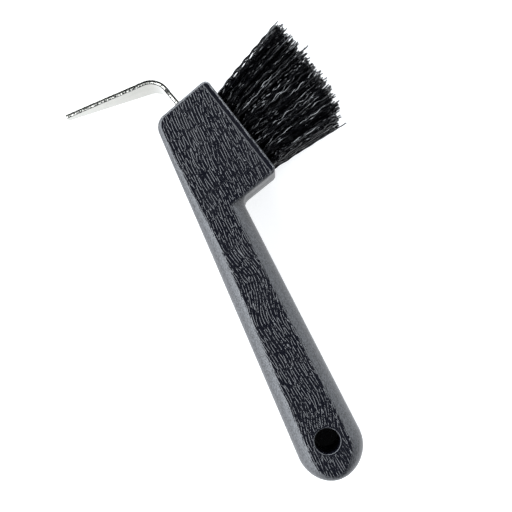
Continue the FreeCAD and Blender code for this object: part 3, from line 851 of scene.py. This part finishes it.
def build_tuft(column, row):
    place = np.array(tuft_matrix(column, row))
    height = place[2, 3]
    corners = np.arange(FILAMENT_SIDES) * math.tau / FILAMENT_SIDES
    lines = [filament_line(column, number, height) for number in range(FILAMENTS)]
    lines += [loose_filament(*shape) for shape in LOOSE.get((column, row), [])]
    points, faces, shades = [], [], []
    for line in lines:
        first, rings = len(points), len(line)
        shade = random.random()
        turn = random.uniform(0, math.tau) + random.gauss(0, FILAMENT_TWIST) * line[:, 2]
        angles = (turn[:, None] + corners).ravel()
        local = np.repeat(line, FILAMENT_SIDES, axis=0)
        local[:, :2] += np.column_stack([np.cos(angles), np.sin(angles)]) * FILAMENT_RADIUS
        points += (local @ place[:3, :3].T + place[:3, 3]).tolist()
        shades += [shade] * len(local)
        for i in range(rings - 1):
            low = first + i * FILAMENT_SIDES
            high = low + FILAMENT_SIDES
            for k in range(FILAMENT_SIDES):
                after = (k + 1) % FILAMENT_SIDES
                faces.append((low + k, low + after, high + after, high + k))
        faces.append(tuple(first + k for k in reversed(range(FILAMENT_SIDES))))
        faces.append(tuple(first + (rings - 1) * FILAMENT_SIDES + k for k in range(FILAMENT_SIDES)))
    mesh = new_mesh(f"bristles_r{row + 1}_c{column + 1}", points, faces)
    set_attribute(mesh, "shade", shades)
    mesh.shade_smooth()
    ends = np.empty(2 * len(mesh.edges), np.int32)
    mesh.edges.foreach_get("vertices", ends)
    lengthwise = np.abs(ends[0::2] - ends[1::2]) == FILAMENT_SIDES
    mesh.attributes.new("sharp_edge", "BOOLEAN", "EDGE").data.foreach_set("value", lengthwise)
    return new_object(mesh.name, mesh)


# ---- materials ----
def feed(tree, target, source):
    """Give a socket a constant or another node's output."""
    if isinstance(source, bpy.types.NodeSocket):
        tree.links.new(source, target)
    else:
        target.default_value = source


def math_node(tree, operation, *sources):
    node = tree.nodes.new("ShaderNodeMath")
    node.operation = operation
    for socket, source in zip(node.inputs, sources):
        feed(tree, socket, source)
    return node.outputs[0]


def map_node(tree, *sources):
    """Smooth step from (value, low, high, value at low, value at high)."""
    node = tree.nodes.new("ShaderNodeMapRange")
    node.interpolation_type = "SMOOTHSTEP"
    for socket, source in zip(node.inputs, sources):
        feed(tree, socket, source)
    return node.outputs[0]


class Nodes:
    """Short ways to build a node material."""

    def __init__(self, name):
        self.material = bpy.data.materials.new(name)
        self.material.use_nodes = True
        self.tree = self.material.node_tree
        self.tree.nodes.clear()
        self.shader = self.tree.nodes.new("ShaderNodeBsdfPrincipled")
        output = self.tree.nodes.new("ShaderNodeOutputMaterial")
        self.link(self.shader.outputs[0], output.inputs[0])
        self.place = self.tree.nodes.new("ShaderNodeTexCoord").outputs["Object"]

    def link(self, source, target):
        self.tree.links.new(source, target)

    def set(self, **sources):
        """Constants and node outputs for the shader's sockets."""
        for name, source in sources.items():
            feed(self.tree, self.shader.inputs[name.replace("_", " ")], source)

    def scaled(self, sizes):
        """Object coordinates divided by these lengths in millimetres."""
        node = self.tree.nodes.new("ShaderNodeMapping")
        node.inputs["Scale"].default_value = [1 / (s * MM) for s in sizes]
        self.link(self.place, node.inputs["Vector"])
        return node.outputs[0]

    def noise(self, sizes, detail=2.0):
        """Noise with features about these lengths in millimetres."""
        node = self.tree.nodes.new("ShaderNodeTexNoise")
        node.inputs["Scale"].default_value = 1.0
        node.inputs["Detail"].default_value = detail
        self.link(self.scaled(sizes), node.inputs["Vector"])
        return node.outputs["Fac"]

    def attribute(self, name):
        node = self.tree.nodes.new("ShaderNodeAttribute")
        node.attribute_name = name
        return node.outputs["Fac"]

    def math(self, operation, *sources):
        return math_node(self.tree, operation, *sources)

    def remap(self, source, low, high, out_low, out_high):
        return map_node(self.tree, source, low, high, out_low, out_high)

    def mix(self, factor, a, b):
        """Between two colours."""
        node = self.tree.nodes.new("ShaderNodeMix")
        node.data_type = "RGBA"
        for number, source in ((0, factor), (6, a), (7, b)):
            feed(self.tree, node.inputs[number], source)
        return node.outputs[2]

    def bump(self, *layers):
        """Bump from (height output, depth in millimetres) layers, the first one lowest."""
        normal = None
        for height, depth in layers:
            node = self.tree.nodes.new("ShaderNodeBump")
            node.inputs["Strength"].default_value = 1.0
            node.inputs["Distance"].default_value = depth * MM
            self.link(height, node.inputs["Height"])
            if normal is not None:
                self.link(normal, node.inputs["Normal"])
            normal = node.outputs[0]
        self.link(normal, self.shader.inputs["Normal"])


# Colours are linear, bump depths in millimetres.
PANEL_COLOUR = (0.0030, 0.0032, 0.0062, 1)
# The sides are the panel's black plastic; their lighter, speckled colour is painted sheen where light
# catches them.
SIDES_DARK, SIDES_PAINTED_SHEEN = (0.003, 0.0032, 0.0045, 1), (0.048, 0.050, 0.056, 1)
SIDES_ROUGH, PANEL_ROUGH, SIDES_BUMP = 0.33, 0.22, 0.17
STEEL_DARK, STEEL_LIGHT = (0.37, 0.365, 0.33, 1), (0.47, 0.46, 0.42, 1)
# FRACTURE_PAINTED_SHADE is painted shade: near-black specks on the torn edge; FRACTURE_LIGHT is the
# bare steel.
FRACTURE_PAINTED_SHADE, FRACTURE_LIGHT = (0.03, 0.03, 0.028, 1), (0.62, 0.60, 0.55, 1)
STRAINED, FRACTURE_ROUGH = (0.22, 0.22, 0.21, 1), 0.22
BRISTLE_DARK, BRISTLE_LIGHT = (0.0004, 0.0004, 0.0008, 1), (0.0012, 0.0012, 0.0020, 1)
WIRE_DARK, WIRE_LIGHT = (0.50, 0.49, 0.47, 1), (0.66, 0.65, 0.62, 1)
FLOOR_DARK, FLOOR_LIGHT = (0.49, 0.49, 0.495, 1), (0.52, 0.52, 0.52, 1)
FLOOR_GLOW, FLOOR_GLOW_STRENGTH = (0.98, 0.99, 1.0, 1), 0.78


def plastic_material():
    n = Nodes("black_moulded_plastic")
    panel = n.attribute("panel")
    cloud = n.noise((9, 14, 9), detail=3)
    speck = n.noise((0.5, 0.75, 0.5))
    mottle = n.math("MULTIPLY", speck, n.math("SUBTRACT", 1.0, panel))
    # Painted sheen: the sides' base colour is speckled lighter than the panel's, for the light they
    # catch.
    sides = n.mix(n.remap(speck, 0.38, 0.62, 0.0, 1.0), SIDES_DARK, SIDES_PAINTED_SHEEN)
    plain = n.remap(panel, 0, 1, SIDES_ROUGH, PANEL_ROUGH)
    cloudy = n.math("ADD", plain, n.remap(cloud, 0.3, 0.7, -0.03, 0.04))
    rough = n.math("ADD", cloudy, n.remap(speck, 0.3, 0.7, -0.03, 0.05))
    n.bump((mottle, SIDES_BUMP))
    n.set(Base_Color=n.mix(panel, sides, PANEL_COLOUR), Roughness=rough, Specular_IOR_Level=0.75,
          IOR=1.5)
    return n.material


def steel_material():
    n = Nodes("nickel_plated_steel")
    torn, strain = n.attribute("panel"), n.attribute("strain")
    cloud = n.noise((5, 5, 4), detail=3)
    grainy = n.noise((0.62, 0.62, 0.9), detail=1)
    streak = n.noise((0.5, 0.5, 6.0))
    band = n.math("MULTIPLY", n.noise((0.9, 0.9, 14), detail=1), strain)
    clean = n.mix(cloud, STEEL_DARK, STEEL_LIGHT)
    clean = n.mix(n.remap(band, 0.35, 0.6, 0.0, 1.0), clean, STRAINED)
    # The torn edge: bare steel speckled with near-black painted shade.
    fracture_with_painted_shade = n.mix(n.remap(grainy, 0.45, 0.55, 0.0, 1.0), FRACTURE_PAINTED_SHADE, FRACTURE_LIGHT)
    rougher = n.math("MULTIPLY", torn, FRACTURE_ROUGH)
    rough = n.math("ADD", n.remap(cloud, 0.3, 0.7, 0.10, 0.17), rougher)
    n.bump((band, 0.05), (streak, 0.008), (grainy, 0.005))
    n.set(Base_Color=n.mix(torn, clean, fracture_with_painted_shade), Roughness=rough, Metallic=1.0)
    return n.material


def bristle_material():
    n = Nodes("black_filament")
    shade = n.attribute("shade")
    fleck = n.noise((0.7, 0.7, 0.7))
    rough = n.math("ADD", n.remap(shade, 0, 1, 0.16, 0.26), n.remap(fleck, 0.3, 0.7, -0.03, 0.04))
    n.bump((fleck, 0.008))
    n.set(Base_Color=n.mix(shade, BRISTLE_DARK, BRISTLE_LIGHT), Roughness=rough)
    return n.material


def wire_material():
    n = Nodes("anchor_wire")
    drawn = n.noise((0.2, 0.2, 3.0))
    n.bump((drawn, 0.01))
    n.set(Base_Color=n.mix(drawn, WIRE_DARK, WIRE_LIGHT), Metallic=1.0,
          Roughness=n.remap(drawn, 0.3, 0.7, 0.28, 0.42))
    return n.material


def floor_material():
    n = Nodes("pale_floor")
    n.set(Base_Color=n.mix(n.noise((60, 60, 60)), FLOOR_DARK, FLOOR_LIGHT), Roughness=0.75,
          Emission_Color=FLOOR_GLOW, Emission_Strength=FLOOR_GLOW_STRENGTH)
    return n.material


# ---- the object ----
plastic, steel = plastic_material(), steel_material()
bristle, wire = bristle_material(), wire_material()


def dress(piece, material, node):
    """Material, body and the CAD node that the piece stands for."""
    piece.data.materials.append(material)
    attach(piece, "root")
    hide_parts(node)


dress(build_handle(), plastic, "handle")
dress(build_pick(), steel, "steel_pick")
for row in range(ROWS):
    for column in range(COLUMNS):
        dress(build_tuft(column, row), bristle, f"bristle_tuft_r{row + 1}_c{column + 1}")
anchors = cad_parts["anchor_staples"]
anchors.data.materials.clear()
anchors.data.materials.append(wire)


# ---- floor, world and camera ----
FLOOR_HALF, FLOOR_HEIGHT = 20.0, -5e-5  # both in metres; the floor is just under the object


def build_floor():
    mesh = bpy.data.meshes.new("floor")
    corners = [(x * FLOOR_HALF, y * FLOOR_HALF, FLOOR_HEIGHT)
               for x, y in ((-1, -1), (1, -1), (1, 1), (-1, 1))]
    mesh.from_pydata(corners, [], [(0, 1, 2, 3)])
    floor = new_object("floor", mesh)
    mesh.materials.append(floor_material())


VIEW_TURN = math.radians(25.2)  # the handle leans this far from upright in the view
VIEW_UP = Vector((math.sin(VIEW_TURN), math.cos(VIEW_TURN), 0))
TENT_BASE, TENT_LEFT, TENT_RIGHT, TENT_TOP, TENT_ROOF = 0.40, 6.2, 2.2, 0.3, 0.03
TENT_GLOW = 0.4  # how much brighter the walls are towards their top, and darker towards the floor
TENT_WINDOW = 11.0  # brightness of the low window at the top of the view
BACKDROP = 1.1  # the tent itself isn't seen: behind the floor there is only this plain white
LIGHT_COLOUR = (0.92, 0.97, 1.03, 1.0)
# Where the tent's parts start and are full, as the direction's component along an axis.
RIGHT_WALL, LEFT_WALL, TOP_WALL = (0.25, 0.75), (-0.25, -0.75), (0.1, 0.8)
NEAR_SIDE, NEAR_DIM = (-0.80, -0.2), 0.3  # at the bottom of the view the walls fade to this share
ROOF_EDGE, GLOW_RISE = (0.83, 0.71), (0.35, 0.70)
WINDOW_SIDE, WINDOW_SILL, WINDOW_HEAD = (0.72, 0.80), (0.17, 0.22), (0.46, 0.41)


def build_world():
    """A light tent: bright walls, most of all on the left, a dark roof and a dim near side."""
    world = bpy.data.worlds.new("tent")
    bpy.context.scene.world = world
    world.use_nodes = True
    tree = world.node_tree
    background = tree.nodes["Background"]
    direction = tree.nodes.new("ShaderNodeTexCoord").outputs["Generated"]
    split = tree.nodes.new("ShaderNodeSeparateXYZ")
    tree.links.new(direction, split.inputs[0])

    def ramp(axis, limits, start, end):
        """From start to end as the direction's component along an axis crosses the limits."""
        return map_node(tree, split.outputs[axis], *limits, start, end)

    def combine(operation, *sources):
        return math_node(tree, operation, *sources)

    right, left = ramp("X", RIGHT_WALL, 0.0, TENT_RIGHT), ramp("X", LEFT_WALL, 0.0, TENT_LEFT)
    walls = combine("ADD", right, left)
    walls = combine("ADD", walls, ramp("Y", TOP_WALL, 0.0, TENT_TOP))
    walls = combine("ADD", walls, TENT_BASE)
    walls = combine("MULTIPLY", walls, ramp("Y", NEAR_SIDE, NEAR_DIM, 1.0))
    walls = combine("MULTIPLY", walls, ramp("Z", ROOF_EDGE, 0.0, 1.0))
    walls = combine("MULTIPLY", walls, ramp("Z", GLOW_RISE, 1.0 - TENT_GLOW, 1.0 + TENT_GLOW))
    window = ramp("Y", WINDOW_SIDE, 0.0, TENT_WINDOW)
    window = combine("MULTIPLY", window, ramp("Z", WINDOW_SILL, 0.0, 1.0))
    window = combine("MULTIPLY", window, ramp("Z", WINDOW_HEAD, 0.0, 1.0))
    tent = combine("ADD", combine("ADD", walls, window), TENT_ROOF)
    seen = tree.nodes.new("ShaderNodeLightPath").outputs["Is Camera Ray"]
    light = combine("MULTIPLY", tent, combine("SUBTRACT", 1.0, seen))
    strength = combine("ADD", light, combine("MULTIPLY", seen, BACKDROP))
    tree.links.new(strength, background.inputs["Strength"])
    background.inputs["Color"].default_value = LIGHT_COLOUR


CAMERA_PLACE, CAMERA_TARGET = Vector((8, 58, 336)) * MM, Vector((5.5, 77.1, 14)) * MM
CAMERA_ANGLE = 35.2  # degrees
SENSOR_WIDTH = 36.0
CLIP_START, CLIP_END = 0.01, 20.0  # metres


def build_camera():
    data = bpy.data.cameras.new("camera")
    data.sensor_width = SENSOR_WIDTH
    data.lens = SENSOR_WIDTH / 2 / math.tan(math.radians(CAMERA_ANGLE / 2))
    data.clip_start, data.clip_end = CLIP_START, CLIP_END
    back = (CAMERA_PLACE - CAMERA_TARGET).normalized()
    right = VIEW_UP.cross(back).normalized()
    up = back.cross(right)
    camera = new_object("camera", data)
    turned = Matrix((right, up, back)).transposed().to_4x4()
    camera.matrix_world = Matrix.Translation(CAMERA_PLACE) @ turned
    bpy.context.scene.camera = camera


build_floor()
build_world()
build_camera()
bpy.context.scene.view_settings.view_transform = "Standard"
